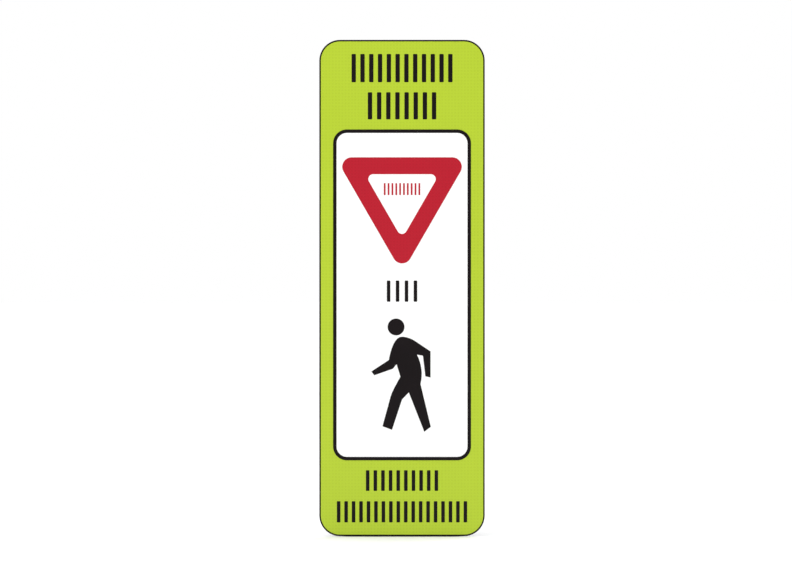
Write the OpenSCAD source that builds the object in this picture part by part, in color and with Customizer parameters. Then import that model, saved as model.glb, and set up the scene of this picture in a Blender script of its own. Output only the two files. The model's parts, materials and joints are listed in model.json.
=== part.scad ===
// In-street pedestrian crossing sign on a telescoping square post with a rebound base.
// The sign faces -Y, +Z is up, and the origin is on the ground under the post's axis.
// All sizes are in millimetres.

/* [Sign panel] */
// Width of the sign panel (12 in)
panel_w = 304.8; // [280:1:320]
// Height of the sign panel (36 in)
panel_h = 914.4; // [900:1:920]
// Corner radius of the sign panel (1.5 in)
panel_r = 38.1; // [25:0.5:50]
// Thickness of the aluminium blank
blank_t = 2; // [1.5:0.1:3]
// Height of the panel's bottom edge above the ground when the post is lowered
panel_gap = 1; // [1:1:12]

/* [Face films] */
// Thickness of the yellow-green reflective sheeting
sheeting_t = 0.4; // [0.3:0.05:0.6]
// Thickness of the white reflective sheeting
white_t = 0.3; // [0.2:0.05:0.5]
// Thickness of the cut colour films
film_t = 0.2; // [0.15:0.05:0.3]
// Width of the thin line along the panel's edge
edge_line_w = 2.8; // [2:0.1:4]
// Width of the white field, outside its black border (10 in)
field_w = 254; // [240:1:256]
// Height of the white field, outside its black border (24 in)
field_h = 609.6; // [590:1:612]
// Distance from the panel's top edge to the white field (6.5 in)
field_drop = 165.1; // [160:0.1:170]
// Corner radius of the white field (1 in)
field_r = 25.4; // [20:0.1:28]
// Width of the white field's black border (1/4 in)
border_w = 6.35; // [5:0.05:8]

/* [Posts] */
// Outside width of the upper square tube (2 in)
upper_size = 50.8; // [50.8:0.1:51.4]
// Wall of the upper tube (12 gauge)
upper_wall = 2.7; // [2.4:0.1:2.7]
// Outside width of the lower square tube (1 3/4 in)
lower_size = 44.45; // [44:0.05:44.45]
// Wall of the lower tube (14 gauge)
lower_wall = 2; // [1.9:0.1:2.7]
// Distance between perforations (1 in)
pitch = 25.4; // [25.4:0.1:25.4]
// Diameter of the perforations (7/16 in)
perforation_d = 11.1; // [10.6:0.1:11.5]
// Number of perforations on each face of the upper tube
upper_holes = 32; // [30:1:32]
// Number of perforations on each face of the lower tube
lower_holes = 18; // [14:1:20]

/* [Rails] */
// Length of the rails on the panel's back
rail_l = 270; // [240:2:280]
// Height of a rail's section
rail_h = 40; // [36:1:44]
// Depth of a rail's section, from the panel to the post
rail_d = 16; // [15:1:18]
// Height of the lower rail above the ground
rail_low = 180; // [178:1:220]
// Height of the upper rail above the ground
rail_high = 780; // [700:1:840]

/* [Base] */
// Width of the base plate
plate_w = 224; // [210:2:280]
// Depth of the base plate
plate_d = 200; // [170:2:220]
// Thickness of the base plate
plate_t = 12; // [10:1:14]
// Thickness of the rubber pad under the base plate
pad_t = 3; // [2:0.5:4]
// Diameter of the anchor holes
anchor_d = 14; // [12:0.5:16]
// Distance between the anchor holes across the plate
anchor_x = 184; // [170:2:190]
// Distance between the anchor holes from front to back
anchor_y = 150; // [130:2:160]
// Height of the hinge axis above the ground
hinge_z = 62; // [62:1:66]
// Diameter of the hinge pin
pin_d = 16; // [14:0.5:16]

/* [Hidden] */
$fn = 64;
eps = 0.5;

// Levels along Y, from the post forwards to the face
post_front = -upper_size / 2;
rail_front = post_front - rail_d;
tape_t = 1.1;
blank_back = rail_front - tape_t;
blank_front = blank_back - blank_t;
sheeting_front = blank_front - sheeting_t;
white_front = sheeting_front - white_t;
panel_top = panel_gap + panel_h;

// Levels along Z, from the ground up through the hinge
plate_top = pad_t + plate_t;
plate_front = -38;
plate_centre_y = plate_front + plate_d / 2;
plate_r = 12;
foot_rise = 20;
foot_t = 8;
foot_bottom = hinge_z + foot_rise;
foot_top = foot_bottom + foot_t;
foot_half = 28;
foot_w = 66;
stop_w = 56;

// Hinge, from the middle outwards along X
run_gap = 0.05;
side_gap = 0.2;
barrel_half = 13;
barrel_r = 15;
neck_d = 22;
bush_r = 10;
sleeve_r = 13.5;
sleeve_gap = 0.3;
ear_inner = 68.5;
ear_outer = ear_inner + 8;
ear_back = 26;
ear_r = 20;
web_back = -20;
web_t = 8;
web_top = hinge_z - 10;
bumper_t = 5;
bumper_r = 2;
pin_r = pin_d / 2;
pin_head_r = pin_r + 4;
pin_head_t = 5.8;
pin_tail = 10;
washer_r = pin_r + 5;
washer_t = 2;
cotter_r = 1.8;
cotter_x = ear_outer + 5.5;
cotter_above = 4;
cotter_below = 6;
cotter_eye_r = 3;
cotter_eye_wire_r = 1.2;

// Torsion springs
wire_r = 2.75;
coil_r = 17.1;
coil_start_x = 17.3;
coil_pitch = 5.8;
coil_turns = 8.25;
spring_leg_y = foot_half - 4;
spring_sides = 8;
ring_step = 30;

// Posts
tube_r = 4;
upper_l = upper_holes * pitch;
lower_l = 480;
lower_first_hole = foot_top + pitch;
upper_first_hole = foot_top + pitch / 2;
plug_l = 12;
plug_gap = 0.1;
plug_top_t = 3;
plug_inset = 0.5;
cap_t = 3.5;
cap_plug_l = 5;
cap_plug_gap = 0.15;

// Rails, straps and their bolts
rail_wall = 2.5;
rail_slot = 9.5;
end_cap_t = 2.5;
end_cap_plug = 10;
end_cap_gap = 0.1;
tape_end_margin = 4;
tape_side_margin = 2;
strap_t = 3;
strap_h = 32;
strap_gap = 0.2;
strap_flange_w = 58;
strap_flange_back = post_front + 6;
bolt_x = 43;
bolt_r = 4;
bolt_play = 0.5;
bolt_head_af = 13;
bolt_head_t = 5.3;
bolt_washer_r = 8;
bolt_washer_t = 1.6;
bolt_nut_t = 8;
bolt_tail = 3;
bolt_end = strap_flange_back + bolt_washer_t + bolt_nut_t + bolt_tail;
rivet_x = 108;
rivet_r = 2.4;
rivet_head_r = 4.2;
rivet_head_t = 1.2;
rivet_tail_r = 4;
rivet_tail_t = 2;

// Locking screw, at the second perforation of the upper tube's right side
lock_z = upper_first_hole + pitch;
lock_r = 5;
lock_nut_af = 17;
lock_nut_t = 9;
lock_pad_t = 2.5;
lock_pad_r = 4.9;
lock_pad_x = lower_size / 2 + 0.08;
lock_nose_r = 2.5;
lock_nose_l = 1.4;
lock_head_x = 60;
lock_head_l = 16;
lock_head_r = 8;
tee_r = 4;
tee_l = 70;
tee_knob_r = 5.5;
tee_knob_l = 5;

// Layout of the face: how far each film lies below the panel's top edge
triangle_drop = 216.4;
triangle_side = 246;
triangle_r = 17.5;
window_drop = 247.5;
window_side = 137.5;
window_r = 9;
yield_bars_drop = 275;
middle_bars_drop = 463;
figure_feet_drop = 722;
top_rows_drop = [52, 121.5];
bottom_rows_drop = [812, 869.5];
wide_bar = 8;
medium_bar = 6.5;
thin_bar = 3.2;

// Colours
green = [0.74, 0.84, 0.25];
ink_black = [0.14, 0.12, 0.13];
ink_red = [0.75, 0.17, 0.22];
field_white = [0.98, 0.98, 0.97];
galvanised = [0.66, 0.68, 0.70];
mill_aluminium = [0.80, 0.81, 0.82];
black_rubber = [0.10, 0.10, 0.10];
spring_steel = [0.30, 0.31, 0.33];
bronze = [0.72, 0.55, 0.28];
foam_grey = [0.35, 0.36, 0.37];

function from_top(drop) = panel_top - drop;
function bezier(a, b, c, d, t) =
    pow(1 - t, 3) * a + 3 * pow(1 - t, 2) * t * b + 3 * (1 - t) * t * t * c + pow(t, 3) * d;
function curve(a, b, c, d, steps = 8) = [for (i = [0 : steps]) bezier(a, b, c, d, i / steps)];
function arc(centre, r, from, to, steps = 10) =
    [for (i = [0 : steps]) let (angle = from + (to - from) * i / steps)
        centre + r * [cos(angle), sin(angle)]];

// ---- Shapes that repeat ----

// A rectangle with round corners, centred on the origin
module rounded(w, h, r) {
    square([w - 2 * r, h], center = true);
    square([w, h - 2 * r], center = true);
    for (x = [-1, 1], y = [-1, 1])
        translate([x * (w / 2 - r), y * (h / 2 - r)]) circle(r);
}

// A triangle that points down, with round corners and its top edge on the X axis
module rounded_triangle(side, r) {
    reach = side / 2 - r * sqrt(3);
    polygon(concat(
        arc([-reach, -r], r, 210, 90),
        arc([reach, -r], r, 90, -30),
        arc([0, -side * sqrt(3) / 2 + 2 * r], r, -30, -150)
    ));
}

// Stands a flat outline upright as a sheet whose back is at y = back
module sheet(back, thickness) {
    translate([0, back, 0]) rotate([90, 0, 0]) linear_extrude(thickness) children();
}

// A bar along X from x = from to x = to
module rod_x(r, from, to) {
    translate([from, 0, 0]) rotate([0, 90, 0]) cylinder(r = r, h = to - from);
}

// A bar along Y from y = from to y = to
module rod_y(r, from, to) {
    translate([0, from, 0]) rotate([-90, 0, 0]) cylinder(r = r, h = to - from);
}

// A six-sided prism along Z, given across its flats
module hexagon(af, h) {
    cylinder(d = af / cos(30), h = h, $fn = 6);
}

// A square tube with round edges and a row of perforations through each pair of faces
module perforated_tube(size, wall, length, first_hole, holes) {
    difference() {
        linear_extrude(length) difference() {
            rounded(size, size, tube_r);
            rounded(size - 2 * wall, size - 2 * wall, tube_r - wall / 2);
        }
        for (i = [0 : holes - 1]) translate([0, 0, first_hole + i * pitch]) {
            rod_x(perforation_d / 2, -size / 2 - eps, size / 2 + eps);
            rod_y(perforation_d / 2, -size / 2 - eps, size / 2 + eps);
        }
    }
}

// A row of upright bars like the stripes of a crossing, spread evenly over a total width
module bar_row(count, bar_w, total, h) {
    step = (total - bar_w) / (count - 1);
    for (i = [0 : count - 1])
        translate([i * step - (total - bar_w) / 2, 0]) rounded(bar_w, h, bar_w / 5);
}

// ---- Base ----

module anchor_holes(from, to) {
    for (x = [-1, 1], y = [-1, 1])
        translate([x * anchor_x / 2, plate_centre_y + y * anchor_y / 2, from - eps])
            cylinder(d = anchor_d, h = to - from + 2 * eps);
}

module plate_slab(from, to) {
    difference() {
        translate([0, plate_centre_y, from]) linear_extrude(to - from) rounded(plate_w, plate_d, plate_r);
        anchor_holes(from, to);
    }
}

module base_pad() {
    color(black_rubber) plate_slab(0, pad_t);
}

module base_plate() {
    color(galvanised) plate_slab(pad_t, plate_top);
}

// One cheek of the bracket, drawn with Y across and Z up
module ear_outline() {
    difference() {
        union() {
            polygon([[web_back - web_t, plate_top], [ear_back, plate_top], [ear_r, hinge_z],
                     [-ear_r, hinge_z], [web_back - web_t, web_top]]);
            translate([0, hinge_z]) circle(ear_r);
        }
        translate([0, hinge_z]) circle(pin_r + run_gap);
    }
}

module hinge_bracket() {
    color(galvanised) {
        for (x = [-ear_outer, ear_inner])
            translate([x, 0, 0]) rotate([90, 0, 90]) linear_extrude(ear_outer - ear_inner) ear_outline();
        translate([-ear_outer, web_back - web_t, plate_top])
            cube([2 * ear_outer, web_t, web_top - plate_top]);
        translate([-stop_w / 2, web_back - web_t, plate_top])
            cube([stop_w, web_t, foot_bottom - bumper_t - plate_top]);
    }
}

module stop_bumper() {
    color(black_rubber)
        translate([0, web_back - web_t / 2, foot_bottom - bumper_t])
            linear_extrude(bumper_t) rounded(stop_w, web_t - 1, bumper_r);
}

module hinge_pin() {
    color(galvanised) translate([0, 0, hinge_z]) difference() {
        union() {
            rod_x(pin_r, -ear_outer - side_gap, ear_outer + pin_tail);
            rod_x(pin_head_r, -ear_outer - side_gap - pin_head_t, -ear_outer - side_gap);
        }
        translate([cotter_x, 0, -pin_r - eps]) cylinder(r = cotter_r + run_gap, h = 2 * pin_r + 2 * eps);
    }
}

module hinge_washer() {
    color(galvanised) translate([0, 0, hinge_z]) difference() {
        rod_x(washer_r, ear_outer + side_gap, ear_outer + side_gap + washer_t);
        rod_x(pin_r + 2 * run_gap, ear_outer - eps, ear_outer + washer_t + 2 * eps);
    }
}

module cotter_pin() {
    color(mill_aluminium) translate([cotter_x, 0, hinge_z]) {
        translate([0, 0, -pin_r - cotter_below])
            cylinder(r = cotter_r, h = 2 * pin_r + cotter_below + cotter_above);
        translate([0, 0, pin_r + cotter_above + cotter_eye_r]) rotate([0, 90, 0])
            rotate_extrude() translate([cotter_eye_r, 0]) circle(cotter_eye_wire_r);
    }
}

// A nylon sleeve that centres a spring on the pin
module spring_sleeve(side) {
    from = barrel_half + sleeve_gap;
    to = ear_inner - sleeve_gap;
    color(field_white) translate([0, 0, hinge_z]) difference() {
        rod_x(sleeve_r, side > 0 ? from : -to, side > 0 ? to : -from);
        rod_x(pin_r + run_gap, -ear_inner, ear_inner);
    }
}

// The wire's centreline: a leg under the foot, the coil, and a leg down the web's back
function coil_point(side, turn) = [
    side * (coil_start_x + coil_pitch * turn),
    coil_r * cos(90 + 360 * turn),
    hinge_z + coil_r * sin(90 + 360 * turn)
];
function spring_route(side) = concat(
    [[side * coil_start_x, spring_leg_y, hinge_z + coil_r]],
    [for (turn = [0 : ring_step / 360 : coil_turns]) coil_point(side, turn)],
    [[side * (coil_start_x + coil_pitch * coil_turns), -coil_r, plate_top + wire_r]]
);
function unit(v) = v / norm(v);
function heading(route, i) =
    unit(route[min(i + 1, len(route) - 1)] - route[max(i - 1, 0)]);
function ring(route, i) =
    let (along = heading(route, i),
         across = unit(cross(along, unit(cross([1, 0, 0], along)))),
         other = cross(along, across))
    [for (k = [0 : spring_sides - 1])
        route[i] + wire_r * (cos(k * 360 / spring_sides) * across + sin(k * 360 / spring_sides) * other)];

module swept_wire(route) {
    n = spring_sides;
    last = len(route) - 1;
    points = [for (i = [0 : last]) each ring(route, i)];
    walls = [for (i = [0 : last - 1], k = [0 : n - 1])
        [i * n + k, i * n + (k + 1) % n, (i + 1) * n + (k + 1) % n, (i + 1) * n + k]];
    ends = [[for (k = [n - 1 : -1 : 0]) k], [for (k = [0 : n - 1]) last * n + k]];
    polyhedron(points, concat(walls, ends), convexity = 10);
}

module torsion_spring(side) {
    color(spring_steel) swept_wire(spring_route(side));
}

// ---- Lower post ----

module hinge_foot() {
    color(galvanised) difference() {
        union() {
            translate([0, 0, foot_bottom]) linear_extrude(foot_t) rounded(foot_w, 2 * foot_half, tube_r);
            translate([-barrel_half, -neck_d / 2, hinge_z])
                cube([2 * barrel_half, neck_d, foot_rise + eps]);
            translate([0, 0, hinge_z]) rod_x(barrel_r, -barrel_half, barrel_half);
        }
        translate([0, 0, hinge_z]) rod_x(bush_r, -barrel_half - eps, barrel_half + eps);
    }
}

module hinge_bush() {
    color(bronze) translate([0, 0, hinge_z]) difference() {
        rod_x(bush_r, -barrel_half, barrel_half);
        rod_x(pin_r + run_gap, -barrel_half - eps, barrel_half + eps);
    }
}

module lower_post() {
    color(galvanised) translate([0, 0, foot_top])
        perforated_tube(lower_size, lower_wall, lower_l, lower_first_hole - foot_top, lower_holes);
}

module lower_post_plug() {
    inside = lower_size - 2 * lower_wall - 2 * plug_gap;
    rim = lower_size - 2 * plug_inset;
    color(black_rubber) translate([0, 0, foot_top + lower_l]) {
        linear_extrude(plug_top_t) rounded(rim, rim, tube_r);
        translate([0, 0, -plug_l]) linear_extrude(plug_l + eps) rounded(inside, inside, tube_r - 1);
    }
}

// ---- Upper post ----

module upper_post() {
    color(galvanised) translate([0, 0, foot_top])
        perforated_tube(upper_size, upper_wall, upper_l, upper_first_hole - foot_top, upper_holes);
}

module post_cap() {
    inside = upper_size - 2 * upper_wall - 2 * cap_plug_gap;
    color(black_rubber) translate([0, 0, foot_top + upper_l]) {
        linear_extrude(cap_t) rounded(upper_size, upper_size, tube_r);
        translate([0, 0, -cap_plug_l])
            linear_extrude(cap_plug_l + eps) rounded(inside, inside, tube_r - upper_wall / 2);
    }
}

module lock_nut() {
    color(galvanised) translate([upper_size / 2, 0, lock_z]) rotate([0, 90, 0]) difference() {
        hexagon(lock_nut_af, lock_nut_t);
        translate([0, 0, -eps]) cylinder(r = lock_r + run_gap, h = lock_nut_t + 2 * eps);
    }
}

// ---- Rails on the panel's back ----

// The rail's section with its slot towards the post, drawn with Y across and Z up
module rail_section() {
    difference() {
        translate([rail_front, -rail_h / 2]) square([rail_d, rail_h]);
        translate([rail_front + rail_wall, -rail_h / 2 + rail_wall])
            square([rail_d - 2 * rail_wall, rail_h - 2 * rail_wall]);
        translate([post_front - rail_wall - eps, -rail_slot / 2])
            square([rail_wall + 2 * eps, rail_slot]);
    }
}

module rail(z) {
    color(mill_aluminium) translate([0, 0, z]) difference() {
        translate([-rail_l / 2, 0, 0]) rotate([90, 0, 90]) linear_extrude(rail_l) rail_section();
        for (x = [-rivet_x, rivet_x])
            translate([x, 0, 0]) rod_y(rivet_r + run_gap, rail_front - eps, rail_front + rail_wall + eps);
    }
}

module rail_end_cap(z, side) {
    plug_d = rail_d - 2 * rail_wall - 2 * end_cap_gap;
    plug_h = rail_h - 2 * rail_wall - 2 * end_cap_gap;
    translate([side * (rail_l / 2 + end_cap_t / 2), rail_front + rail_d / 2, z]) {
        cube([end_cap_t, rail_d, rail_h], center = true);
        translate([-side * (end_cap_plug / 2), 0, 0])
            cube([end_cap_plug + end_cap_t, plug_d, plug_h], center = true);
    }
}

module rail_end_caps() {
    color(black_rubber) for (z = [rail_low, rail_high], side = [-1, 1]) rail_end_cap(z, side);
}

module bond_tape(z) {
    color(foam_grey) difference() {
        translate([-rail_l / 2 + tape_end_margin, blank_back, z - rail_h / 2 + tape_side_margin])
            cube([rail_l - 2 * tape_end_margin, tape_t, rail_h - 2 * tape_side_margin]);
        for (x = [-rivet_x, rivet_x])
            translate([x, 0, z]) rod_y(rivet_r + run_gap, blank_back - eps, rail_front + eps);
    }
}

// Countersunk in the blank's front, under the sheeting, with its tail inside the rail
module rail_rivet() {
    rod_y(rivet_r, blank_front, rail_front + rail_wall);
    translate([0, blank_front, 0]) rotate([-90, 0, 0])
        cylinder(r1 = rivet_head_r, r2 = rivet_r, h = rivet_head_t);
    rod_y(rivet_tail_r, rail_front + rail_wall, rail_front + rail_wall + rivet_tail_t);
}

module rail_rivets() {
    color(mill_aluminium)
        for (x = [-rivet_x, rivet_x], z = [rail_low, rail_high]) translate([x, 0, z]) rail_rivet();
}

// ---- Straps that hold the rails to the post ----

// Seen from above: a U round the post's back with a flange on each side
module strap_outline() {
    inner_w = upper_size + 2 * strap_gap;
    outer_w = inner_w + 2 * strap_t;
    flange_front = strap_flange_back - strap_t;
    difference() {
        union() {
            translate([0, -strap_gap]) rounded(outer_w, outer_w, tube_r + strap_t);
            translate([-strap_flange_w, flange_front]) square([2 * strap_flange_w, strap_t]);
        }
        translate([0, -strap_gap]) rounded(inner_w, inner_w, tube_r);
        translate([-outer_w, flange_front - outer_w]) square([2 * outer_w, outer_w]);
    }
}

module post_strap(z) {
    color(galvanised) difference() {
        translate([0, 0, z - strap_h / 2]) linear_extrude(strap_h) strap_outline();
        for (x = [-bolt_x, bolt_x])
            translate([x, 0, z])
                rod_y(bolt_r + bolt_play, strap_flange_back - strap_t - eps, strap_flange_back + eps);
    }
}

module at_each_bolt() {
    for (x = [-bolt_x, bolt_x], z = [rail_low, rail_high]) translate([x, 0, z]) children();
}

module clamp_bolts() {
    color(galvanised) at_each_bolt() {
        rod_y(bolt_r, post_front - rail_wall - eps, bolt_end);
        translate([0, post_front - rail_wall - bolt_head_t, 0]) rotate([-90, 0, 0])
            hexagon(bolt_head_af, bolt_head_t);
    }
}

module clamp_washers() {
    color(galvanised) at_each_bolt() difference() {
        rod_y(bolt_washer_r, strap_flange_back, strap_flange_back + bolt_washer_t);
        rod_y(bolt_r + side_gap, strap_flange_back - eps, strap_flange_back + bolt_washer_t + eps);
    }
}

module clamp_nuts() {
    from = strap_flange_back + bolt_washer_t;
    color(galvanised) at_each_bolt() difference() {
        translate([0, from, 0]) rotate([-90, 0, 0]) hexagon(bolt_head_af, bolt_nut_t);
        rod_y(bolt_r + run_gap, from - eps, from + bolt_nut_t + eps);
    }
}

// ---- Sign panel and its films ----

module panel_outline(inset = 0) {
    translate([0, panel_gap + panel_h / 2])
        rounded(panel_w - 2 * inset, panel_h - 2 * inset, panel_r - inset);
}

module field_outline(inset = 0) {
    translate([0, from_top(field_drop) - field_h / 2])
        rounded(field_w - 2 * inset, field_h - 2 * inset, field_r - inset);
}

module sign_blank() {
    color(mill_aluminium) difference() {
        sheet(blank_back, blank_t) panel_outline();
        for (x = [-rivet_x, rivet_x], z = [rail_low, rail_high]) translate([x, 0, z]) {
            rod_y(rivet_r, blank_front - eps, blank_back + eps);
            translate([0, blank_front, 0]) rotate([-90, 0, 0])
                cylinder(r1 = rivet_head_r, r2 = rivet_r, h = rivet_head_t);
        }
    }
}

module green_sheeting() {
    color(green) sheet(blank_front, sheeting_t) panel_outline();
}

module edge_line() {
    color(ink_black) sheet(sheeting_front, film_t) difference() {
        panel_outline();
        panel_outline(edge_line_w);
    }
}

module white_field() {
    color(field_white) sheet(sheeting_front, white_t) field_outline();
}

module field_border() {
    color(ink_black) sheet(white_front, film_t) difference() {
        field_outline();
        field_outline(border_w);
    }
}

module yield_triangle() {
    color(ink_red) sheet(white_front, film_t) difference() {
        translate([0, from_top(triangle_drop)]) rounded_triangle(triangle_side, triangle_r);
        translate([0, from_top(window_drop)]) rounded_triangle(window_side, window_r);
    }
}

module yield_bars() {
    color(ink_red) sheet(white_front, film_t)
        translate([0, from_top(yield_bars_drop)]) bar_row(10, thin_bar, 67, 22);
}

module middle_bars() {
    color(ink_black) sheet(white_front, film_t)
        translate([0, from_top(middle_bars_drop)]) bar_row(4, medium_bar, 56, 39);
}

// The walking figure, drawn from the ground up with its feet on the X axis
module figure_outline() {
    translate([-11, 193]) circle(15.5);
    polygon(concat(
        curve([-24.5, 132], [-20, 155], [-13, 175], [0, 175]),
        curve([0, 175], [8, 175], [15, 172], [22, 168.5]),
        [[52.5, 148], [52.5, 100], [43, 102], [38.5, 140]],
        curve([27.5, 142], [36.5, 125], [38.5, 105], [34, 88]),
        [[53, 9], [41, 0], [12.5, 72.5], [0, 59.5], [-18.5, 3.5], [-36, 10]],
        curve([-21, 65], [-18, 75], [-12, 85], [-3, 101.5], 4),
        [[-10, 124.5], [-17, 116], [-51, 104], [-56.5, 111]]
    ));
}

module pedestrian_figure() {
    color(ink_black) sheet(white_front, film_t) translate([0, from_top(figure_feet_drop)]) figure_outline();
}

module top_bars() {
    color(ink_black) sheet(sheeting_front, film_t) {
        translate([0, from_top(top_rows_drop[0])]) bar_row(12, wide_bar, 186, 52);
        translate([0, from_top(top_rows_drop[1])]) bar_row(8, wide_bar, 126, 50);
    }
}

module bottom_bars() {
    color(ink_black) sheet(sheeting_front, film_t) {
        translate([0, from_top(bottom_rows_drop[0])]) bar_row(10, medium_bar, 133, 38);
        translate([0, from_top(bottom_rows_drop[1])]) bar_row(18, medium_bar, 240, 39);
    }
}

// ---- Locking screw ----

module lock_pad() {
    color(bronze) translate([lock_pad_x, 0, lock_z]) difference() {
        rod_x(lock_pad_r, 0, lock_pad_t);
        rod_x(lock_nose_r + run_gap, lock_pad_t - lock_nose_l - run_gap, lock_pad_t + eps);
    }
}

module lock_screw() {
    tip = lock_pad_x + lock_pad_t;
    color(spring_steel) translate([0, 0, lock_z]) difference() {
        union() {
            rod_x(lock_nose_r, tip - lock_nose_l, tip + eps);
            rod_x(lock_r, tip, lock_head_x + eps);
            rod_x(lock_head_r, lock_head_x, lock_head_x + lock_head_l);
        }
        translate([lock_head_x + lock_head_l / 2, 0, -lock_head_r - eps])
            cylinder(r = tee_r + run_gap, h = 2 * lock_head_r + 2 * eps);
    }
}

module lock_tee_bar() {
    color(spring_steel) translate([lock_head_x + lock_head_l / 2, 0, lock_z]) {
        translate([0, 0, -tee_l / 2]) cylinder(r = tee_r, h = tee_l);
        for (side = [-1, 1])
            translate([0, 0, side * (tee_l - tee_knob_l) / 2])
                cylinder(r = tee_knob_r, h = tee_knob_l, center = true);
    }
}

base_pad();
base_plate();
hinge_bracket();
stop_bumper();
hinge_pin();
hinge_washer();
cotter_pin();
spring_sleeve(-1);  // spring_sleeve_left
spring_sleeve(1);  // spring_sleeve_right
torsion_spring(-1);  // torsion_spring_left
torsion_spring(1);  // torsion_spring_right
hinge_foot();
hinge_bush();
lower_post();
lower_post_plug();
upper_post();
post_cap();
lock_nut();
rail(rail_high);  // rail_upper
rail(rail_low);  // rail_lower
rail_end_caps();
bond_tape(rail_high);  // bond_tape_upper
bond_tape(rail_low);  // bond_tape_lower
rail_rivets();
post_strap(rail_high);  // post_strap_upper
post_strap(rail_low);  // post_strap_lower
clamp_bolts();
clamp_washers();
clamp_nuts();
sign_blank();
green_sheeting();
edge_line();
white_field();
field_border();
yield_triangle();
yield_bars();
middle_bars();
pedestrian_figure();
top_bars();
bottom_bars();
lock_pad();
lock_screw();
lock_tee_bar();
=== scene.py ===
"""An in-street crossing sign: a reflective panel on a telescoping post, on a base that springs back."""

import json
import math

import bpy
from mathutils import Matrix, Vector


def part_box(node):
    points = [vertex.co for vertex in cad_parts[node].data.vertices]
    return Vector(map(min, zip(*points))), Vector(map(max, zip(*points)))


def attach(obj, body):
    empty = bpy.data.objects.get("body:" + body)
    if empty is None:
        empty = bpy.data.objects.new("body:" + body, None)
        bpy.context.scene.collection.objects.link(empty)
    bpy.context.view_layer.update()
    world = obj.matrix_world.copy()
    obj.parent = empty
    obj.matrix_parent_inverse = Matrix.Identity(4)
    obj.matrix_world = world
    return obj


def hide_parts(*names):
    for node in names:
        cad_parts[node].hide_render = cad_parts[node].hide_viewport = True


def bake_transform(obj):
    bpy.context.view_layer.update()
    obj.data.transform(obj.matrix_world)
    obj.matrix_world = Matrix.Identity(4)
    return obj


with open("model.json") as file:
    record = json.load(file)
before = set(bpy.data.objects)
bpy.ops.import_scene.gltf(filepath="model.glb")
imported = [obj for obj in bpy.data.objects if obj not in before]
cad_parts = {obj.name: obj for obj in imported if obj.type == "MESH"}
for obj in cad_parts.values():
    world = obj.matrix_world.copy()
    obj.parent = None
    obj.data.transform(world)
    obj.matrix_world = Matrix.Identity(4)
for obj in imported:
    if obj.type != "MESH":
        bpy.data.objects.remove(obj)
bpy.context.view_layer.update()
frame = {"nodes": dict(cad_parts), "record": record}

# ---- Base pad ----
# A 3 mm sheet of black rubber under the plate, punched for the anchors. It beds the plate on a rough road.
# Moulded rubber is dull, with a fine grain and grey road dust.
MM = 0.001
merge_gap = 0.01 * MM
flat_angle = math.radians(1)
sharp_angle = math.radians(40)


def add_node(material, kind, settings=(), values=()):
    node = material.node_tree.nodes.new(kind)
    for name, value in dict(settings).items():
        setattr(node, name, value)
    for name, value in dict(values).items():
        node.inputs[name].default_value = value
    return node


def join(material, source, output, target, socket):
    material.node_tree.links.new(source.outputs[output], target.inputs[socket])


def new_material(name, **surface):
    material = bpy.data.materials.new(name)
    material.use_nodes = True
    shader = material.node_tree.nodes["Principled BSDF"]
    for socket, value in surface.items():
        shader.inputs[socket.replace("_", " ")].default_value = value
    return material, shader


def noise(material, scale, detail=4.0, roughness=0.55, stretch=(1, 1, 1)):
    place = add_node(material, "ShaderNodeTexCoord")
    mapping = add_node(material, "ShaderNodeMapping", values={"Scale": stretch})
    grain = add_node(
        material, "ShaderNodeTexNoise", values={"Scale": scale, "Detail": detail, "Roughness": roughness}
    )
    join(material, place, "Object", mapping, "Vector")
    join(material, mapping, "Vector", grain, "Vector")
    return grain


def vary(material, source, output, shader, socket, low, high, start=0.3, stop=0.7):
    """The source pattern moves the socket's number from low to high."""
    spread = add_node(
        material,
        "ShaderNodeMapRange",
        values={"From Min": start, "From Max": stop, "To Min": low, "To Max": high},
    )
    join(material, source, output, spread, "Value")
    join(material, spread, "Result", shader, socket)


def tint(material, source, output, shader, dark, light, start=0.3, stop=0.7):
    """The source pattern moves the base colour from dark to light."""
    ramp = add_node(material, "ShaderNodeValToRGB")
    ramp.color_ramp.elements[0].position = start
    ramp.color_ramp.elements[0].color = (*dark, 1)
    ramp.color_ramp.elements[1].position = stop
    ramp.color_ramp.elements[1].color = (*light, 1)
    join(material, source, output, ramp, "Fac")
    join(material, ramp, "Color", shader, "Base Color")
    return ramp


def emboss(material, source, output, shader, strength, depth):
    relief = add_node(material, "ShaderNodeBump", values={"Strength": strength, "Distance": depth})
    join(material, source, output, relief, "Height")
    join(material, relief, "Normal", shader, "Normal")


def rubber():
    material, shader = new_material("moulded_rubber", Specular_IOR_Level=0.3)
    dust = noise(material, 30, detail=6)
    tint(material, dust, "Fac", shader, (0.018, 0.018, 0.018), (0.07, 0.068, 0.064), 0.4, 0.8)
    vary(material, dust, "Fac", shader, "Roughness", 0.7, 0.95)
    emboss(material, noise(material, 1800), "Fac", shader, 0.5, 0.2 * MM)
    return material


def select_only(piece):
    bpy.ops.object.select_all(action="DESELECT")
    piece.select_set(True)
    bpy.context.view_layer.objects.active = piece


def edit_all(piece):
    select_only(piece)
    bpy.ops.object.mode_set(mode="EDIT")
    bpy.ops.mesh.select_mode(type="VERT")
    bpy.ops.mesh.select_all(action="SELECT")


def finish_piece(piece, body, material, smooth=35):
    """Applies the piece's place, shades it and gives it its material and body."""
    select_only(piece)
    bpy.ops.object.transform_apply(location=True, rotation=True, scale=True)
    bpy.ops.object.shade_smooth_by_angle(angle=math.radians(smooth))
    piece.data.materials.clear()
    piece.data.materials.append(material)
    if body:
        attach(piece, body)
    return piece


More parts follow.
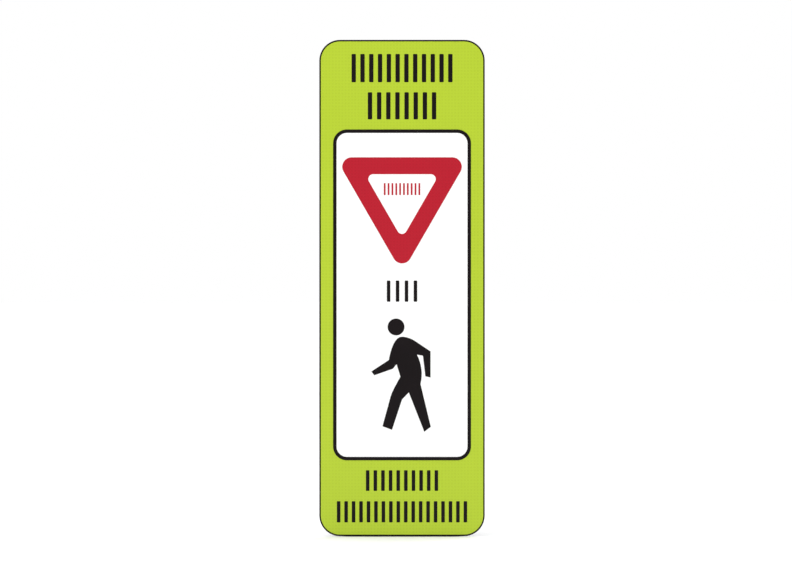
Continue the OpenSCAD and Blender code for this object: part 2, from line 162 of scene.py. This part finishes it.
def eased_copy(node, name, body, material, width, segments=2):
    """The CAD piece again, with its sharp edges broken by a small round of the given width."""
    piece = bpy.data.objects.new(name, frame["nodes"][node].data.copy())
    bpy.context.scene.collection.objects.link(piece)
    edit_all(piece)
    bpy.ops.mesh.remove_doubles(threshold=merge_gap)
    bpy.ops.mesh.tris_convert_to_quads(face_threshold=flat_angle, shape_threshold=math.pi)
    bpy.ops.mesh.select_mode(type="EDGE")
    bpy.ops.mesh.select_all(action="DESELECT")
    bpy.ops.mesh.edges_select_sharp(sharpness=sharp_angle)
    bpy.ops.mesh.bevel(
        offset=width, segments=segments, affect="EDGES", clamp_overlap=False, loop_slide=False
    )
    bpy.ops.object.mode_set(mode="OBJECT")
    finish_piece(piece, body, material)
    even = piece.modifiers.new("even_shading", "WEIGHTED_NORMAL")
    even.keep_sharp = True
    bpy.ops.object.modifier_apply(modifier=even.name)
    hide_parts(node)
    return piece


black_rubber = rubber()
eased_copy("base_pad", "bedding_pad", "base", black_rubber, 0.8 * MM)

# ---- Base plate and hinge bracket ----
# The plate is 12 mm steel with four anchor holes, and the bracket is two cheeks and a web welded on top
# of it. They are hot-dip galvanised together after welding, so the zinc's spangle and dull bloom cover
# everything, the ripples of the weld beads too.


def galvanised(name):
    """Zinc crystals of two sizes with feathered edges, each with its own tone, under a thin dull bloom."""
    material, shader = new_material(name, Metallic=0.85, Specular_IOR_Level=0.5)
    place = add_node(material, "ShaderNodeTexCoord")
    feather = noise(material, 420, detail=4)
    shift = add_node(material, "ShaderNodeVectorMath", {"operation": "MULTIPLY_ADD"}, {1: (6 * MM,) * 3})
    join(material, feather, "Color", shift, 0)
    join(material, place, "Object", shift, 2)
    tones = []
    for crystals in (105.0, 260.0):
        spangle = add_node(material, "ShaderNodeTexVoronoi", values={"Scale": crystals, "Randomness": 1.0})
        join(material, shift, "Vector", spangle, "Vector")
        split = add_node(material, "ShaderNodeSeparateColor")
        join(material, spangle, "Color", split, "Color")
        tones.append(split)
    both = add_node(material, "ShaderNodeMix", {"data_type": "FLOAT"}, {"Factor": 0.42})
    join(material, tones[0], "Red", both, "A")
    join(material, tones[1], "Red", both, "B")
    bloom = noise(material, 22, detail=6)
    dulled = add_node(material, "ShaderNodeMix", {"data_type": "FLOAT"}, {"Factor": 0.35})
    join(material, both, "Result", dulled, "A")
    join(material, bloom, "Fac", dulled, "B")
    tint(material, dulled, "Result", shader, (0.27, 0.28, 0.29), (0.43, 0.44, 0.45), 0.15, 0.85)
    vary(material, tones[0], "Green", shader, "Roughness", 0.30, 0.48, 0.0, 1.0)
    emboss(material, noise(material, 260, detail=5), "Fac", shader, 0.25, 0.12 * MM)
    return material


def weld_bead(name, start, end, leg, body):
    """A fillet weld: a rod sunk in the corner, with the ripples of a slow hand and tapered ends."""
    run = end - start
    length = run.length
    ripples = max(3, int(length / ripple_pitch))
    bpy.ops.object.select_all(action="DESELECT")
    bpy.ops.mesh.primitive_cylinder_add(
        vertices=bead_sides,
        radius=leg,
        depth=length,
        location=(start + end) / 2,
        rotation=run.to_track_quat("Z", "Y").to_euler(),
    )
    piece = bpy.context.object
    piece.name = name
    bpy.ops.object.mode_set(mode="EDIT")
    bpy.ops.mesh.select_all(action="DESELECT")
    bpy.ops.object.mode_set(mode="OBJECT")
    for edge in piece.data.edges:
        low, high = (piece.data.vertices[i].co for i in edge.vertices)
        edge.select = abs(low.z - high.z) > length / 2
    bpy.ops.object.mode_set(mode="EDIT")
    bpy.ops.mesh.select_mode(type="EDGE")
    bpy.ops.mesh.subdivide(number_cuts=2 * ripples)
    bpy.ops.object.mode_set(mode="OBJECT")
    for point in piece.data.vertices:
        along = point.co.z / length + 0.5
        ripple = ripple_depth * math.sin(along * ripples * math.tau)
        taper = end_taper * max(0.0, abs(along - 0.5) * 2 - taper_start) / (1 - taper_start)
        point.co.x *= 1 + ripple - taper
        point.co.y *= 1 + ripple - taper
    finish_piece(piece, body, zinc_coat, smooth=60)


zinc_coat = galvanised("hot_dip_zinc")
eased_copy("base_plate", "anchor_plate", "base", zinc_coat, 1.2 * MM)
eased_copy("hinge_bracket", "hinge_cheeks", "base", zinc_coat, 0.8 * MM)

plate_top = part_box("base_plate")[1].z
bracket_low, bracket_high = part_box("hinge_bracket")
cheek_t = 8 * MM
web_t = cheek_t
cheek_back = 26 * MM
bead = 3.4 * MM
bead_sides = 12
bead_end = 1 * MM
ripple_pitch = 1.6 * MM
ripple_depth = 0.035
end_taper = 0.35
taper_start = 0.94
spring_room = 9 * MM
corner_room = 2 * MM
for side, word in ((-1, "left"), (1, "right")):
    outer = side * bracket_high.x
    inner = outer - side * cheek_t
    for face, x, front in (
        ("outer", outer, bracket_low.y),
        ("inner", inner, bracket_low.y + web_t + spring_room),
    ):
        start = Vector((x, front + bead_end, plate_top))
        end = Vector((x, cheek_back - bead_end, plate_top))
        weld_bead(f"cheek_weld_{word}_{face}", start, end, bead, "base")
for word, y, room in (("front", bracket_low.y, corner_room), ("back", bracket_low.y + web_t, spring_room)):
    end = Vector((bracket_high.x - cheek_t - room, y, plate_top))
    start = Vector((-end.x, y, plate_top))
    weld_bead(f"web_weld_{word}", start, end, bead, "base")

# ---- Stop bumper ----
# A small block of hard moulded rubber, bonded on top of the web between the cheeks.
# The foot comes back against it when the post stands up.
eased_copy("stop_bumper", "stop_block", "base", black_rubber, 1 * MM, segments=3)

# ---- Hinge pin, washer and cotter pin ----
# A 16 mm turned pin goes through both cheeks and the foot. Its head is on the left, and a washer and a
# cotter pin of folded half-round wire hold it on the right. All three are bright zinc plated.


def zinc_plated():
    material, shader = new_material("bright_zinc_plate", Metallic=1.0)
    haze = noise(material, 140, detail=5)
    tint(material, haze, "Fac", shader, (0.40, 0.405, 0.40), (0.56, 0.56, 0.54))
    vary(material, haze, "Fac", shader, "Roughness", 0.18, 0.34)
    emboss(material, noise(material, 2500, detail=2), "Fac", shader, 0.12, 0.05 * MM)
    return material


bright_zinc = zinc_plated()
hinge_height = frame["record"]["behaviour"]["joints"][0]["pos_m"][2]
for node, name, ease in (("hinge_pin", "headed_hinge_pin", 0.9), ("hinge_washer", "pin_washer", 0.3)):
    eased_copy(node, name, "base", bright_zinc, ease * MM)

keeper_low, keeper_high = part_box("cotter_pin")
keeper_x = (keeper_low.x + keeper_high.x) / 2
keeper_r = 1.7 * MM
keeper_sides = 20
half_split = 0.12 * MM
bend_r = 3.2 * MM
bend_angle = math.radians(38)
bend_steps = 6
tail_l = 2.4 * MM
straight_bottom = hinge_height - 10 * MM
eye_r = 3 * MM
eye_wire_r = 1.2 * MM
eye_steps = 32
eye_height = keeper_high.z - eye_r - eye_wire_r
straight_top = eye_height - eye_r
legs = []
for side in (-1, 1):
    bpy.ops.object.select_all(action="DESELECT")
    bpy.ops.mesh.primitive_circle_add(vertices=keeper_sides, radius=keeper_r, fill_type="NGON")
    leg = bpy.context.object
    bpy.ops.object.mode_set(mode="EDIT")
    bpy.ops.mesh.select_all(action="SELECT")
    bpy.ops.mesh.bisect(plane_co=(0, side * half_split, 0), plane_no=(0, side, 0), clear_inner=True)
    bpy.ops.mesh.select_all(action="SELECT")
    bpy.ops.transform.translate(value=(keeper_x, 0, straight_top))
    drop = (0, 0, straight_bottom - straight_top)
    bpy.ops.mesh.extrude_region_move(TRANSFORM_OT_translate={"value": drop})
    bpy.ops.mesh.spin(
        steps=bend_steps,
        angle=-side * bend_angle,
        center=(keeper_x, side * (bend_r + keeper_r), straight_bottom),
        axis=(1, 0, 0),
    )
    tail = Vector((0, side * math.sin(bend_angle), -math.cos(bend_angle))) * tail_l
    bpy.ops.mesh.extrude_region_move(TRANSFORM_OT_translate={"value": tail})
    bpy.ops.object.mode_set(mode="OBJECT")
    legs.append(leg)
bpy.ops.object.select_all(action="DESELECT")
bpy.ops.mesh.primitive_torus_add(
    major_radius=eye_r,
    minor_radius=eye_wire_r,
    major_segments=eye_steps,
    minor_segments=bead_sides,
    location=(keeper_x, 0, eye_height),
    rotation=(0, math.pi / 2, 0),
)
keeper = bpy.context.object
keeper.name = "pin_keeper"
for leg in legs:
    leg.select_set(True)
bpy.ops.object.join()
edit_all(keeper)
bpy.ops.mesh.normals_make_consistent(inside=False)
bpy.ops.object.mode_set(mode="OBJECT")
finish_piece(keeper, "base", bright_zinc)
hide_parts("cotter_pin")

# ---- Spring sleeves ----
# Two turned tubes of natural nylon on the pin, one on each side of the foot. They keep the coils centred
# and stop steel from rubbing on steel.


def natural_nylon():
    material, shader = new_material("natural_nylon", Specular_IOR_Level=0.4)
    shader.inputs["Subsurface Weight"].default_value = 0.15
    shader.inputs["Subsurface Radius"].default_value = (2 * MM, 1.6 * MM, 1.2 * MM)
    turned = noise(material, 60, detail=5, stretch=(30, 1, 1))
    tint(material, turned, "Fac", shader, (0.66, 0.65, 0.58), (0.78, 0.77, 0.71))
    vary(material, turned, "Fac", shader, "Roughness", 0.38, 0.6)
    emboss(material, turned, "Fac", shader, 0.2, 0.05 * MM)
    return material


nylon = natural_nylon()
for word in ("left", "right"):
    eased_copy(f"spring_sleeve_{word}", f"nylon_sleeve_{word}", "base", nylon, 0.6 * MM)

# ---- Torsion springs ----
# Two coils of 5.5 mm oil-tempered wire. The inner leg lies under the foot plate, and the outer leg runs
# down behind the bracket's web. When a car pushes the sign over they wind up, and then throw it back.


def tempered_wire():
    material, shader = new_material("oil_tempered_wire", Metallic=0.9)
    scale = noise(material, 320, detail=5)
    tint(material, scale, "Fac", shader, (0.045, 0.047, 0.052), (0.12, 0.12, 0.125))
    vary(material, scale, "Fac", shader, "Roughness", 0.32, 0.55)
    emboss(material, scale, "Fac", shader, 0.15, 0.05 * MM)
    return material


def select_where(piece, test):
    """Selects the piece's points that pass the test and leaves the piece in edit mode."""
    select_only(piece)
    bpy.ops.object.mode_set(mode="EDIT")
    bpy.ops.mesh.select_mode(type="VERT")
    bpy.ops.mesh.select_all(action="DESELECT")
    bpy.ops.object.mode_set(mode="OBJECT")
    for point in piece.data.vertices:
        point.select = test(point.co)
    bpy.ops.object.mode_set(mode="EDIT")


wire_r = 2.75 * MM
coil_r = 17.1 * MM
coil_pitch = 5.8 * MM
coil_turns = 8.25
coil_start = 17.3 * MM
wire_sides = 16
steps_a_turn = 32
inner_leg = 24 * MM
outer_leg = hinge_height - plate_top - wire_r
leg_slack = 0.2 * MM
dark_wire = tempered_wire()

for side, word in ((-1, "left"), (1, "right")):
    bpy.ops.object.select_all(action="DESELECT")
    bpy.ops.mesh.primitive_circle_add(vertices=wire_sides, radius=wire_r, rotation=(math.pi / 2, 0, 0))
    spring = bpy.context.object
    spring.name = f"wound_spring_{word}"
    bpy.ops.object.transform_apply(rotation=True)
    bpy.ops.object.mode_set(mode="EDIT")
    bpy.ops.mesh.select_all(action="SELECT")
    bpy.ops.transform.translate(value=(side * coil_start, 0, coil_r))
    bpy.ops.object.mode_set(mode="OBJECT")
    winding = spring.modifiers.new("winding", "SCREW")
    winding.axis = "X"
    winding.angle = math.tau * coil_turns
    winding.screw_offset = side * coil_pitch * coil_turns
    winding.steps = winding.render_steps = int(steps_a_turn * coil_turns)
    bpy.ops.object.modifier_apply(modifier=winding.name)
    first_x = side * coil_start
    last_x = side * (coil_start + coil_pitch * coil_turns)
    leg_reach = wire_r + leg_slack
    select_where(spring, lambda p: abs(p.x - first_x) < leg_reach and p.z > 0 and abs(p.y) < leg_slack)
    bpy.ops.mesh.extrude_region_move(TRANSFORM_OT_translate={"value": (0, inner_leg, 0)})
    bpy.ops.mesh.edge_face_add()
    bpy.ops.object.mode_set(mode="OBJECT")
    select_where(spring, lambda p: abs(p.x - last_x) < leg_reach and p.y < 0 and abs(p.z) < leg_slack)
    bpy.ops.mesh.extrude_region_move(TRANSFORM_OT_translate={"value": (0, 0, -outer_leg)})
    bpy.ops.mesh.edge_face_add()
    bpy.ops.mesh.select_all(action="SELECT")
    bpy.ops.mesh.normals_make_consistent(inside=False)
    bpy.ops.object.mode_set(mode="OBJECT")
    spring.location = (0, 0, hinge_height)
    finish_piece(spring, None, dark_wire, smooth=50)
    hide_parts(f"torsion_spring_{word}")
    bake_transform(spring)

# ---- Hinge foot and its bush ----
# A steel barrel welded under an 8 mm plate, galvanised. It turns on the pin in a pressed-in bronze bush,
# and carries the post.


def bearing_bronze():
    material, shader = new_material("bearing_bronze", Metallic=1.0)
    patina = noise(material, 180, detail=5)
    tint(material, patina, "Fac", shader, (0.36, 0.20, 0.075), (0.58, 0.36, 0.15))
    vary(material, patina, "Fac", shader, "Roughness", 0.3, 0.5)
    emboss(material, patina, "Fac", shader, 0.1, 0.05 * MM)
    return material


bronze = bearing_bronze()
eased_copy("hinge_foot", "post_foot", "lower_post", zinc_coat, 0.8 * MM)
eased_copy("hinge_bush", "foot_bush", "lower_post", bronze, 0.4 * MM)

# ---- Lower post and its plug ----
# A 1 3/4 inch square aluminium tube, extruded with round edges and punched on all four faces at one inch.
# It stands welded on the foot. A moulded plug keeps rain out of its top.


def mill_finish(name, along, dark=(0.33, 0.335, 0.34), light=(0.47, 0.475, 0.48)):
    """Extruded aluminium: fine and broad die lines along the section, and grey clouds from handling."""
    material, shader = new_material(name, Metallic=1.0)
    fine = noise(material, 12, detail=3, stretch=[0.12 if axis == along else 110 for axis in range(3)])
    broad = noise(material, 10, detail=2, stretch=[0.04 if axis == along else 22 for axis in range(3)])
    clouds = noise(material, 16, detail=6)
    tone = add_node(material, "ShaderNodeMix", {"data_type": "FLOAT"}, {"Factor": 0.5})
    join(material, clouds, "Fac", tone, "A")
    join(material, broad, "Fac", tone, "B")
    tint(material, tone, "Result", shader, dark, light)
    gloss = add_node(material, "ShaderNodeMix", {"data_type": "FLOAT"}, {"Factor": 0.45})
    join(material, clouds, "Fac", gloss, "A")
    join(material, fine, "Fac", gloss, "B")
    vary(material, gloss, "Result", shader, "Roughness", 0.24, 0.38, 0.35, 0.65)
    emboss(material, fine, "Fac", shader, 0.12, 0.05 * MM)
    return material


def moulded_plastic():
    material, shader = new_material("black_moulded_plastic", Specular_IOR_Level=0.4)
    dust = noise(material, 45, detail=5)
    tint(material, dust, "Fac", shader, (0.012, 0.012, 0.013), (0.035, 0.035, 0.036))
    vary(material, dust, "Fac", shader, "Roughness", 0.42, 0.62)
    emboss(material, noise(material, 3000, detail=2), "Fac", shader, 0.3, 0.08 * MM)
    return material


post_metal = mill_finish("extruded_post", along=2)
black_plastic = moulded_plastic()
eased_copy("lower_post", "inner_tube", "lower_post", post_metal, 0.3 * MM)
eased_copy("lower_post_plug", "inner_tube_plug", "lower_post", black_plastic, 0.8 * MM)

tube_low, tube_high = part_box("lower_post")
tube_corner = 4 * MM
foot_bead = 0.45 * MM
reach = tube_high.x - tube_corner
for quarter, word in enumerate(("front", "right", "back", "left")):
    turned = Matrix.Rotation(quarter * math.pi / 2, 4, "Z")
    start = turned @ Vector((-reach, -tube_high.y, tube_low.z))
    end = turned @ Vector((reach, -tube_high.y, tube_low.z))
    weld_bead(f"foot_weld_{word}", start, end, foot_bead, "lower_post")

# ---- Upper post and cap ----
# A 2 inch aluminium tube of the same kind, extruded and punched, slides over the lower one and carries the
# sign. A cap of moulded black plastic is pressed into its top.
eased_copy("upper_post", "outer_tube", "sign_head", post_metal, 0.35 * MM)
eased_copy("post_cap", "outer_tube_cap", "sign_head", black_plastic, 1.2 * MM, segments=3)

# ---- Locking screw ----
# A nut is welded over one perforation of the outer tube. An M10 screw with a sliding tee bar goes through
# it, and its bronze tip pad presses on the inner tube. All but the pad are bright zinc plated.


def cut_thread(screw, at, along, radius, pitch, start, end):
    """Turns a plain shank down to the thread's root and winds the thread's ridge round it."""
    root = radius - thread_depth * pitch
    across = 1 - along
    squeeze = [root / radius] * 3
    squeeze[along] = 1

    def on_shank(point):
        from_axis = math.hypot(point.z - at.z, point[across] - at[across])
        in_reach = start - pitch < point[along] < end + shank_slack
        return in_reach and root - shank_slack < from_axis < radius + shank_slack

    select_where(screw, on_shank)
    bpy.ops.transform.resize(value=squeeze, center_override=at)
    bpy.ops.object.mode_set(mode="OBJECT")

    bpy.ops.object.select_all(action="DESELECT")
    bpy.ops.mesh.primitive_circle_add(vertices=3, radius=pitch / 2)
    ridge = bpy.context.object
    profile = ((0, root), (pitch / 2, radius - crest_clearance), (pitch, root))
    for point, (x, z) in zip(ridge.data.vertices, profile):
        point.co = (x, 0, z)
    bpy.ops.object.mode_set(mode="EDIT")
    bpy.ops.mesh.select_all(action="DESELECT")
    bpy.ops.object.mode_set(mode="OBJECT")
    for edge in ridge.data.edges:
        near, far = (ridge.data.vertices[i].co.x for i in edge.vertices)
        edge.select = abs(near - far) > 0.9 * pitch
    bpy.ops.object.mode_set(mode="EDIT")
    bpy.ops.mesh.select_mode(type="EDGE")
    bpy.ops.mesh.delete(type="EDGE")
    bpy.ops.object.mode_set(mode="OBJECT")
    winding = ridge.modifiers.new("winding", "SCREW")
    winding.axis = "X"
    winding.screw_offset = pitch
    winding.iterations = int((end - start) / pitch) - 1
    winding.steps = winding.render_steps = thread_steps
    bpy.ops.object.modifier_apply(modifier=winding.name)
    edit_all(ridge)
    bpy.ops.mesh.remove_doubles(threshold=merge_gap)
    bpy.ops.mesh.select_all(action="DESELECT")
    bpy.ops.mesh.select_non_manifold()
    bpy.ops.mesh.edge_face_add()
    bpy.ops.mesh.select_all(action="SELECT")
    bpy.ops.mesh.quads_convert_to_tris()
    bpy.ops.mesh.normals_make_consistent(inside=False)
    bpy.ops.object.mode_set(mode="OBJECT")
    ridge.rotation_euler = (0, 0, along * math.pi / 2)
    ridge.location = at
    ridge.location[along] = start
    bpy.ops.object.transform_apply(location=True, rotation=True, scale=True)
    bpy.ops.object.shade_smooth_by_angle(angle=math.radians(35))
    ridge.data.materials.append(screw.data.materials[0])
    screw.select_set(True)
    bpy.context.view_layer.objects.active = screw
    bpy.ops.object.join()


thread_depth = 0.61
thread_steps = 20
shank_slack = 0.1 * MM
crest_clearance = 0.02 * MM
eased_copy("lock_nut", "welded_lock_nut", "sign_head", bright_zinc, 0.7 * MM)
nut_low, nut_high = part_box("lock_nut")
nut_bead_r = 1.4 * MM
nut_bead_sink = 0.6 * MM
nut_ripples = 30
nut_ripple_depth = 0.07
bpy.ops.object.select_all(action="DESELECT")
bpy.ops.mesh.primitive_torus_add(
    major_radius=(nut_high.z - nut_low.z) / 2 - nut_bead_sink,
    minor_radius=nut_bead_r,
    major_segments=4 * nut_ripples,
    minor_segments=bead_sides,
)
nut_weld = bpy.context.object
nut_weld.name = "lock_nut_weld"
for point in nut_weld.data.vertices:
    round_nut = math.atan2(point.co.y, point.co.x)
    point.co.z *= 1 + nut_ripple_depth * math.sin(round_nut * nut_ripples)
nut_weld.rotation_euler = (0, math.pi / 2, 0)
nut_weld.location = (nut_low.x, 0, (nut_low.z + nut_high.z) / 2)
finish_piece(nut_weld, "sign_head", bright_zinc, smooth=60)
eased_copy("lock_pad", "screw_tip_pad", "lock_pad", bronze, 0.3 * MM)
tee_screw = eased_copy(
    "lock_screw", "tee_headed_screw", "lock_screw", bright_zinc, 0.4 * MM
)
screw_low, screw_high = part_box("lock_screw")
screw_head_l = 16 * MM
screw_nose_l = 1.7 * MM
cut_thread(
    tee_screw,
    (screw_low + screw_high) / 2,
    along=0,
    radius=5 * MM,
    pitch=1.5 * MM,
    start=screw_low.x + screw_nose_l,
    end=screw_high.x - screw_head_l,
)
eased_copy("lock_tee_bar", "sliding_tee_bar", "lock_screw", bright_zinc, 1.0 * MM)

# ---- Rails, end caps, tape and rivets ----
# Two slotted channels, cut from one extrusion, stiffen the panel's back. Foam tape and two flush rivets
# hold each of them to the panel, and black plugs close their ends.


def bonding_foam():
    material, shader = new_material("bonding_foam", Specular_IOR_Level=0.2)
    cells = noise(material, 900, detail=4)
    tint(material, cells, "Fac", shader, (0.045, 0.046, 0.05), (0.10, 0.10, 0.105))
    vary(material, cells, "Fac", shader, "Roughness", 0.75, 0.95)
    emboss(material, cells, "Fac", shader, 0.6, 0.1 * MM)
    return material


rail_metal = mill_finish("extruded_rail", along=0, dark=(0.40, 0.405, 0.41), light=(0.54, 0.545, 0.55))
foam = bonding_foam()
for word in ("upper", "lower"):
    eased_copy(f"rail_{word}", f"slotted_rail_{word}", "sign_head", rail_metal, 0.4 * MM)
    frame["nodes"][f"bond_tape_{word}"].data.materials[0] = foam
eased_copy("rail_end_caps", "rail_plugs", "sign_head", black_plastic, 0.7 * MM)
eased_copy("rail_rivets", "flush_rivets", "sign_head", rail_metal, 0.3 * MM)

# ---- Straps and their bolts ----
# A bent galvanised strap goes round the post at each rail. Two M8 bolts with their heads in the rail's
# slot pull it tight, with plain washers and hexagon nuts.
for word in ("upper", "lower"):
    strap = f"bent_strap_{word}"
    eased_copy(f"post_strap_{word}", strap, "sign_head", zinc_coat, 0.5 * MM)
for node, name, ease in (
    ("clamp_bolts", "rail_bolts", 0.5),
    ("clamp_washers", "rail_bolt_washers", 0.2),
    ("clamp_nuts", "rail_bolt_nuts", 0.6),
):
    eased_copy(node, name, "sign_head", bright_zinc, ease * MM)

bolts_low, bolts_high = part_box("clamp_bolts")
rail_bolts = bpy.data.objects["rail_bolts"]
bolt_x = 43 * MM
bolt_head_t = 5.3 * MM
bolt_end = 0.3 * MM
for word in ("upper", "lower"):
    strap_low, strap_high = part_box(f"post_strap_{word}")
    for x in (-bolt_x, bolt_x):
        cut_thread(
            rail_bolts,
            Vector((x, (bolts_low.y + bolts_high.y) / 2, (strap_low.z + strap_high.z) / 2)),
            along=1,
            radius=4 * MM,
            pitch=1.25 * MM,
            start=bolts_low.y + bolt_head_t,
            end=bolts_high.y - bolt_end,
        )

# ---- Sign blank ----
# 2 mm aluminium sheet, sheared to 12 by 36 inches with round corners, its edges deburred. The back is bare,
# with the mill's rolling grain up and down it and the dull bloom of handling.


def rolled_sheet():
    material, shader = new_material("rolled_sheet", Metallic=1.0)
    grain = noise(material, 14, detail=4, stretch=(110, 110, 1.5))
    bloom = noise(material, 7, detail=6, roughness=0.6)
    tint(material, bloom, "Fac", shader, (0.40, 0.41, 0.42), (0.54, 0.55, 0.56))
    vary(material, grain, "Fac", shader, "Roughness", 0.28, 0.44)
    emboss(material, grain, "Fac", shader, 0.12, 0.05 * MM)
    return material


eased_copy("sign_blank", "sheared_blank", "sign_head", rolled_sheet(), 0.3 * MM)

# ---- Reflective sheeting ----
# Fluorescent yellow-green prismatic sheeting covers the whole face, and a white panel of it lies in the
# middle. Rows of diamond cells show under its clear top: fine seal lines, and prisms that tilt one way and
# then the other, shown as painted shade that makes every other cell a little darker.


def prismatic(name, colour, seal, seal_strength=0.5):
    """Diamond cells with seal lines between them, every other cell darkened as painted shade of a tilted
    prism, under a clear film.
    """
    material, shader = new_material(
        name, Specular_IOR_Level=0.2, Coat_Weight=0.2, Coat_Roughness=0.12, Coat_IOR=1.4
    )
    place = add_node(material, "ShaderNodeTexCoord")
    diagonal = add_node(
        material,
        "ShaderNodeMapping",
        values={"Rotation": (0, math.radians(45), 0), "Scale": (1 / cell_size, 1, 1 / cell_size)},
    )
    join(material, place, "Object", diagonal, "Vector")
    cells = add_node(
        material, "ShaderNodeTexVoronoi", {"distance": "CHEBYCHEV"}, {"Scale": 1.0, "Randomness": 0.0}
    )
    join(material, diagonal, "Vector", cells, "Vector")
    # Painted shade: a checker makes every other cell a little darker, standing for prisms tilted away from
    # the light.
    painted_tilt_shade = add_node(material, "ShaderNodeTexChecker", values={"Scale": 1.0})
    painted_tilt_shade.inputs["Color1"].default_value = (1 - painted_tilt_shade_and_age,) * 3 + (1,)
    painted_tilt_shade.inputs["Color2"].default_value = (1, 1, 1, 1)
    half_cell = add_node(material, "ShaderNodeVectorMath", {"operation": "MULTIPLY_ADD"}, {1: (1, 0, 1)})
    half_cell.inputs[2].default_value = (0.5, 0.5, 0.5)
    join(material, diagonal, "Vector", half_cell, 0)
    join(material, half_cell, "Vector", painted_tilt_shade, "Vector")
    age = noise(material, 3.5, detail=3)
    base = tint(material, age, "Fac", shader, [c * (1 - painted_tilt_shade_and_age / 2) for c in colour], colour)
    painted_shade_facets = add_node(
        material, "ShaderNodeMix", {"data_type": "RGBA", "blend_type": "MULTIPLY"}, {"Factor": 1.0}
    )
    join(material, base, "Color", painted_shade_facets, "A")
    join(material, painted_tilt_shade, "Color", painted_shade_facets, "B")
    seam = add_node(
        material,
        "ShaderNodeMapRange",
        values={"From Min": 0.42, "From Max": 0.5, "To Min": 0.0, "To Max": seal_strength},
    )
    join(material, cells, "Distance", seam, "Value")
    lattice = add_node(material, "ShaderNodeMix", {"data_type": "RGBA"})
    lattice.inputs["B"].default_value = (*seal, 1)
    join(material, seam, "Result", lattice, "Factor")
    join(material, painted_shade_facets, "Result", lattice, "A")
    join(material, lattice, "Result", shader, "Base Color")
    vary(material, age, "Fac", shader, "Roughness", 0.28, 0.36)
    emboss(material, cells, "Distance", shader, 0.08, 0.05 * MM)
    return material


cell_size = 4.2 * MM
# How much darker every other cell is painted, as painted shade of the tilted prisms; half of it also sets
# the random age darkening.
painted_tilt_shade_and_age = 0.05
green_sheet = prismatic("prismatic_yellow_green", (0.426, 0.566, 0.026), (0.47, 0.61, 0.05))
white_sheet = prismatic("prismatic_white", (0.95, 0.95, 0.945), (0.80, 0.80, 0.80), 0.9)
frame["nodes"]["green_sheeting"].data.materials[0] = green_sheet
frame["nodes"]["white_field"].data.materials[0] = white_sheet

# ---- Cut films ----
# The black pieces are opaque film, cut with a plotter and rolled on. The red ones are transparent film over
# the white sheeting, so the diamond cells show through them.


def black_film():
    material, shader = new_material("opaque_black_film", Specular_IOR_Level=0.15)
    peel = noise(material, 420, detail=3)
    fading = noise(material, 9, detail=4)
    tint(material, fading, "Fac", shader, (0.0035, 0.0015, 0.002), (0.006, 0.003, 0.004))
    vary(material, peel, "Fac", shader, "Roughness", 0.30, 0.42)
    emboss(material, peel, "Fac", shader, 0.08, 0.04 * MM)
    return material


ink_black = black_film()
ink_red = prismatic("transparent_red_film", (0.437, 0.005, 0.019), (0.48, 0.015, 0.03))
for node in ("edge_line", "field_border", "middle_bars", "pedestrian_figure", "top_bars", "bottom_bars"):
    frame["nodes"][node].data.materials[0] = ink_black
for node in ("yield_triangle", "yield_bars"):
    frame["nodes"][node].data.materials[0] = ink_red

# ---- Floor, light and camera ----
# A plain white floor runs out to a white horizon. A soft sky, brighter overhead than low down, lights it
# with two large soft lamps, and a long lens looks straight at the face.


def soft_light(name, place, target, size, power):
    bpy.ops.object.light_add(type="AREA", location=place)
    light = bpy.context.object
    light.name = name
    light.data.shape = "SQUARE"
    light.data.size = size
    light.data.energy = power
    light.rotation_euler = (Vector(target) - Vector(place)).to_track_quat("-Z", "Y").to_euler()


floor_size = 200
bpy.ops.object.select_all(action="DESELECT")
bpy.ops.mesh.primitive_plane_add(size=floor_size)
floor = bpy.context.object
floor.name = "studio_floor"
floor_paint, floor_shader = new_material("white_floor", Roughness=0.9, Specular_IOR_Level=0.1)
floor_shader.inputs["Base Color"].default_value = (0.93, 0.93, 0.93, 1)
floor.data.materials.append(floor_paint)

sky = bpy.data.worlds.new("studio_sky")
bpy.context.scene.world = sky
sky.use_nodes = True
backdrop = sky.node_tree.nodes["Background"]
sky_place = add_node(sky, "ShaderNodeTexCoord")
sky_parts = add_node(sky, "ShaderNodeSeparateXYZ")
join(sky, sky_place, "Generated", sky_parts, "Vector")
sky_light = add_node(
    sky, "ShaderNodeMapRange", values={"From Min": 0.0, "From Max": 1.0, "To Min": 0.45, "To Max": 1.5}
)
mirrored_sky = add_node(
    sky,
    "ShaderNodeMapRange",
    {"interpolation_type": "SMOOTHSTEP"},
    {"From Min": 0.05, "From Max": 0.7, "To Min": 0.2, "To Max": 1.3},
)
for gradient in (sky_light, mirrored_sky):
    join(sky, sky_parts, "Z", gradient, "Value")
ray = add_node(sky, "ShaderNodeLightPath")
in_metal = add_node(sky, "ShaderNodeMix", {"data_type": "FLOAT"})
join(sky, ray, "Is Glossy Ray", in_metal, "Factor")
join(sky, sky_light, "Result", in_metal, "A")
join(sky, mirrored_sky, "Result", in_metal, "B")
white_behind = add_node(sky, "ShaderNodeMix", {"data_type": "FLOAT"}, {"B": 1.0})
join(sky, ray, "Is Camera Ray", white_behind, "Factor")
join(sky, in_metal, "Result", white_behind, "A")
join(sky, white_behind, "Result", backdrop, "Strength")
backdrop.inputs["Color"].default_value = (1, 1, 1, 1)

middle = (0, 0, 0.45)
soft_light("key_light", (-2.2, -3.2, 2.6), middle, 2.0, 45)
soft_light("back_light", (2.6, 2.6, 2.4), middle, 1.6, 38)

face_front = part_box("pedestrian_figure")[0].y
panel_low, panel_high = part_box("sign_blank")
camera_distance = 6.0
view_width = 1.4592
camera_offset = -0.0111
camera_data = bpy.data.cameras.new("long_lens")
camera = bpy.data.objects.new("long_lens", camera_data)
bpy.context.scene.collection.objects.link(camera)
camera.location = (camera_offset, face_front - camera_distance, (panel_low.z + panel_high.z) / 2)
camera.rotation_euler = (math.pi / 2, 0, 0)
camera_data.sensor_width = 36
camera_data.lens = camera_data.sensor_width * camera_distance / view_width
camera_data.clip_end = 100
bpy.context.scene.camera = camera
bpy.context.scene.view_settings.view_transform = "Standard"
